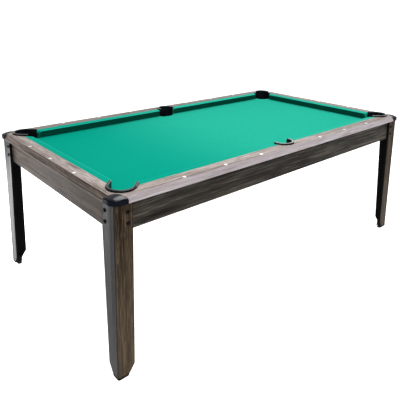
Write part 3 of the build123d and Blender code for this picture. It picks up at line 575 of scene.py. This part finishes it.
def long_low(o):
    return SIDE_MOUTH - SIDE_LEAN * o


def long_high(o):
    return FIELD_X - CORNER_CUT + o


def short_high(o):
    return FIELD_Y - CORNER_CUT + o


def spot(x, y, z):
    return (x * MM, y * MM, z * MM)


for end, sy in (("front", -1), ("back", 1)):
    for hand, sx in (("left", -1), ("right", 1)):
        cushion(f"cushion_{end}_{hand}", wraps[end], long_low, long_high,
                lambda t, o, d, sx=sx, sy=sy: spot(sx * t, sy * (FIELD_Y + o), TOP - d))
for hand, sx in (("left", -1), ("right", 1)):
    cushion(f"cushion_short_{hand}", wraps[hand], lambda o: -short_high(o), short_high,
            lambda t, o, d, sx=sx: spot(sx * (FIELD_X + o), t, TOP - d))


# Bed cloth: one stretched sheet with the six pockets and the rail bolts cut out.
def arc(cx, cy, r, a, b, steps):
    return [(cx + r * math.cos(math.radians(a + (b - a) * k / steps)),
             cy + r * math.sin(math.radians(a + (b - a) * k / steps))) for k in range(steps + 1)]


def bed_outline():
    ex, ey = FIELD_X + BED_EDGE, FIELD_Y + BED_EDGE
    r, s = CORNER_R + GAP, SIDE_R + GAP
    px, py, qy = FIELD_X + CORNER_OFF, FIELD_Y + CORNER_OFF, FIELD_Y + SIDE_OFF
    # One quarter, from the long edge's middle to the short edge's middle.
    quarter = [(s, ey), (px - r, ey)] + arc(px, py, r, 180, 270, 24) + [(ex, py - r)]
    # The drop edge of a side pocket is a shallow arc across its round hole.
    ly, lr = FIELD_Y - SIDE_LIP + SIDE_LIP_R, SIDE_LIP_R
    my = (s * s - lr * lr - qy * qy + ly * ly) / (2 * (ly - qy))
    mx = math.sqrt(s * s - (my - qy) ** 2)
    a, b = math.degrees(math.atan2(qy - my, mx)), math.degrees(math.atan2(ly - my, mx))
    side = arc(0, qy, s, 180, 180 + a, 12) + arc(0, ly, lr, 180 + b, 360 - b, 20)
    side += arc(0, qy, s, 360 - a, 360, 12)
    loop = [(-s, ey)] + side + quarter
    loop += [(x, -y) for x, y in reversed(quarter)] + [(x, -y) for x, y in reversed(side)]
    loop += [(-s, -ey)]
    loop += [(-x, -y) for x, y in quarter[1:]] + [(-x, y) for x, y in reversed(quarter[1:])]
    clean = []
    for p in loop:
        if not clean or math.dist(p, clean[-1]) > 0.01:
            clean.append(p)
    return clean


def bed_sheet():
    bm = bmesh.new()
    loops = [bed_outline()] + [arc(x, y, RAIL_BOLT_HOLE, 0, 345, 23) for x, y in RAIL_BOLTS]
    edges = []
    for loop in loops:
        ring = [bm.verts.new(spot(x, y, BED_TOP)) for x, y in loop]
        edges += [bm.edges.new((a, b)) for a, b in zip(ring, ring[1:] + ring[:1])]
    bmesh.ops.triangle_fill(bm, use_beauty=True, use_dissolve=False, edges=edges, normal=(0, 0, 1))
    for face in bm.faces:
        if face.normal.z < 0:
            face.normal_flip()
    grown = bmesh.ops.extrude_face_region(bm, geom=bm.faces[:])
    low = [v for v in grown["geom"] if isinstance(v, bmesh.types.BMVert)]
    bmesh.ops.translate(bm, verts=low, vec=(0, 0, -CLOTH_T * MM))
    bmesh.ops.recalc_face_normals(bm, faces=bm.faces[:])
    piece = add("bed_cloth_sheet", bm, cloth, smooth=False)
    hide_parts("bed_cloth")


bed_sheet()


# Leg bolts: domed heads with a hexagon socket.
def hexagon(flats, count):
    """Points round a hexagon, evenly spaced in angle."""
    points = []
    for k in range(count):
        a = 2 * math.pi * k / count
        b = (a + math.pi / 6) % (math.pi / 3) - math.pi / 6
        r = flats / 2 / math.cos(b)
        points.append((r * math.cos(a), r * math.sin(a)))
    return points


def bolt(bm, at, out):
    turn = Vector((0, 0, 1)).rotation_difference(Vector(out)).to_matrix()
    count = 48
    circle = [(math.cos(2 * math.pi * k / count), math.sin(2 * math.pi * k / count)) for k in range(count)]
    profile = [(BOLT_R, -BOLT_L), (BOLT_R, 0.0), (BOLT_HEAD_R, 0.0)]
    for a in range(0, 100, 15):
        r = BOLT_HEAD_R - BOLT_ROUND + BOLT_ROUND * math.cos(math.radians(a))
        h = BOLT_HEAD_H - BOLT_ROUND + BOLT_ROUND * math.sin(math.radians(a))
        profile.append((r, min(h, BOLT_HEAD_H)))
    rings = [[(r * x, r * y, h) for x, y in circle] for r, h in profile]
    for flats, deep in ((SOCKET_MOUTH, 0.0), (SOCKET_FLATS, SOCKET_LIP), (SOCKET_FLATS, SOCKET_DEEP)):
        rings.append([(x, y, BOLT_HEAD_H - deep) for x, y in hexagon(flats, count)])
    made = [[bm.verts.new(Vector(at) * MM + turn @ Vector(p) * MM) for p in ring] for ring in rings]
    for first, second in zip(made, made[1:]):
        for k in range(count):
            bm.faces.new((first[k], first[(k + 1) % count], second[(k + 1) % count], second[k]))
    bm.faces.new(made[-1])
    bm.faces.new(list(reversed(made[0])))


bolts = bmesh.new()
for sx in (-1, 1):
    for sy in (-1, 1):
        for z in BOLT_Z:
            bolt(bolts, (sx * BOLT_X, sy * (FIELD_Y + LEG_OUT), z), (0, sy, 0))
            bolt(bolts, (sx * (FIELD_X + LEG_OUT), sy * BOLT_Y, z), (sx, 0, 0))
heads = add("leg_bolts_socket", bolts, blacked)
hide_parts("leg_bolts")
heads.data.set_sharp_from_angle(angle=math.radians(40))


# Floor, light and camera.
def floor_and_light():
    scene = bpy.context.scene
    # A flat floor that sweeps up into a low, far backdrop all round.
    mesh = bpy.data.meshes.new("floor")
    rings = [(radius, FLOOR) for radius in FLOOR_RADII]
    for k in range(1, 9):
        a = k * math.pi / 16
        rings.append((FLOOR_RADII[1] + SWEEP * math.sin(a), FLOOR + SWEEP * (1 - math.cos(a))))
    turns = 96
    points = [(0.0, 0.0, FLOOR)]
    for radius, height in rings:
        for k in range(turns):
            a = k * math.tau / turns
            points.append((radius * math.cos(a), radius * math.sin(a), height))
    faces = [(0, 1 + k, 1 + (k + 1) % turns) for k in range(turns)]
    for j in range(len(rings) - 1):
        low, high = 1 + j * turns, 1 + (j + 1) * turns
        faces += [(low + k, high + k, high + (k + 1) % turns, low + (k + 1) % turns) for k in range(turns)]
    mesh.from_pydata(points, [], faces)
    mesh.shade_smooth()
    floor = bpy.data.objects.new("floor", mesh)
    scene.collection.objects.link(floor)
    material, tree, shader = begin("pale_floor", Roughness=0.9, Specular_IOR_Level=0.1)
    shader.inputs["Base Color"].default_value = (0.92, 0.92, 0.92, 1)
    shader.inputs["Emission Color"].default_value = (1, 1, 1, 1)
    shader.inputs["Emission Strength"].default_value = 0.66
    mesh.materials.append(material)
    world = bpy.data.worlds.new("studio")
    scene.world = world
    world.use_nodes = True
    back = world.node_tree.nodes["Background"]
    back.inputs["Color"].default_value = (1, 1, 1, 1)
    back.inputs["Strength"].default_value = 0.45
    for name, at, aim, size, power in (
        ("key", (-1.6, -2.6, 4.4), (0, 0, 0.7), (3.2, 3.2), 150.0),
        ("top", (1.2, 0.2, 4.6), (0.4, 0, 0.7), (4.0, 3.0), 135.0),
        ("side", (-1.50, 1.70, 0.70), (-1.44, 1.51, 0.0), (0.5, 1.8), 48.0),
        ("back", (4.2, 2.6, 3.1), (-0.6, -0.3, 0.8), (3.2, 1.6), 45.0),
    ):
        light = bpy.data.lights.new(name, "AREA")
        light.shape = "RECTANGLE"
        light.size, light.size_y = size
        light.energy = power
        lamp = bpy.data.objects.new(name, light)
        scene.collection.objects.link(lamp)
        lamp.visible_camera = False
        lamp.visible_diffuse = name != "back"
        lamp.visible_glossy = name != "side"
        lamp.location = at
        lamp.rotation_mode = "QUATERNION"
        lamp.rotation_quaternion = (Vector(aim) - Vector(at)).to_track_quat("-Z", "Y")
    scene.view_settings.view_transform = "Standard"
    scene.view_settings.look = "None"


def set_camera():
    picture, sensor = 400.0, 36.0
    focal, cx, cy = 466.54, 194.0, 104.0
    yaw, pitch, roll = 0.70841, 0.21101, 0.00958
    ahead = math.cos(pitch)
    forward = Vector((math.sin(yaw) * ahead, math.cos(yaw) * ahead, -math.sin(pitch)))
    level = Vector((math.cos(yaw), -math.sin(yaw), 0))
    rise = level.cross(forward)
    right = math.cos(roll) * level + math.sin(roll) * rise
    up = -math.sin(roll) * level + math.cos(roll) * rise
    data = bpy.data.cameras.new("camera")
    camera = bpy.data.objects.new("camera", data)
    bpy.context.scene.collection.objects.link(camera)
    turn = Matrix((right, up, -forward)).transposed().to_4x4()
    camera.matrix_world = Matrix.Translation((-1.92781, -2.03510, 1.53119)) @ turn
    data.sensor_fit = "HORIZONTAL"
    data.sensor_width = sensor
    data.lens = focal / picture * sensor
    data.shift_x = (picture / 2 - cx) / picture
    data.shift_y = (cy - picture / 2) / picture
    data.clip_start, data.clip_end = 0.05, 500.0
    bpy.context.scene.camera = camera


floor_and_light()
set_camera()
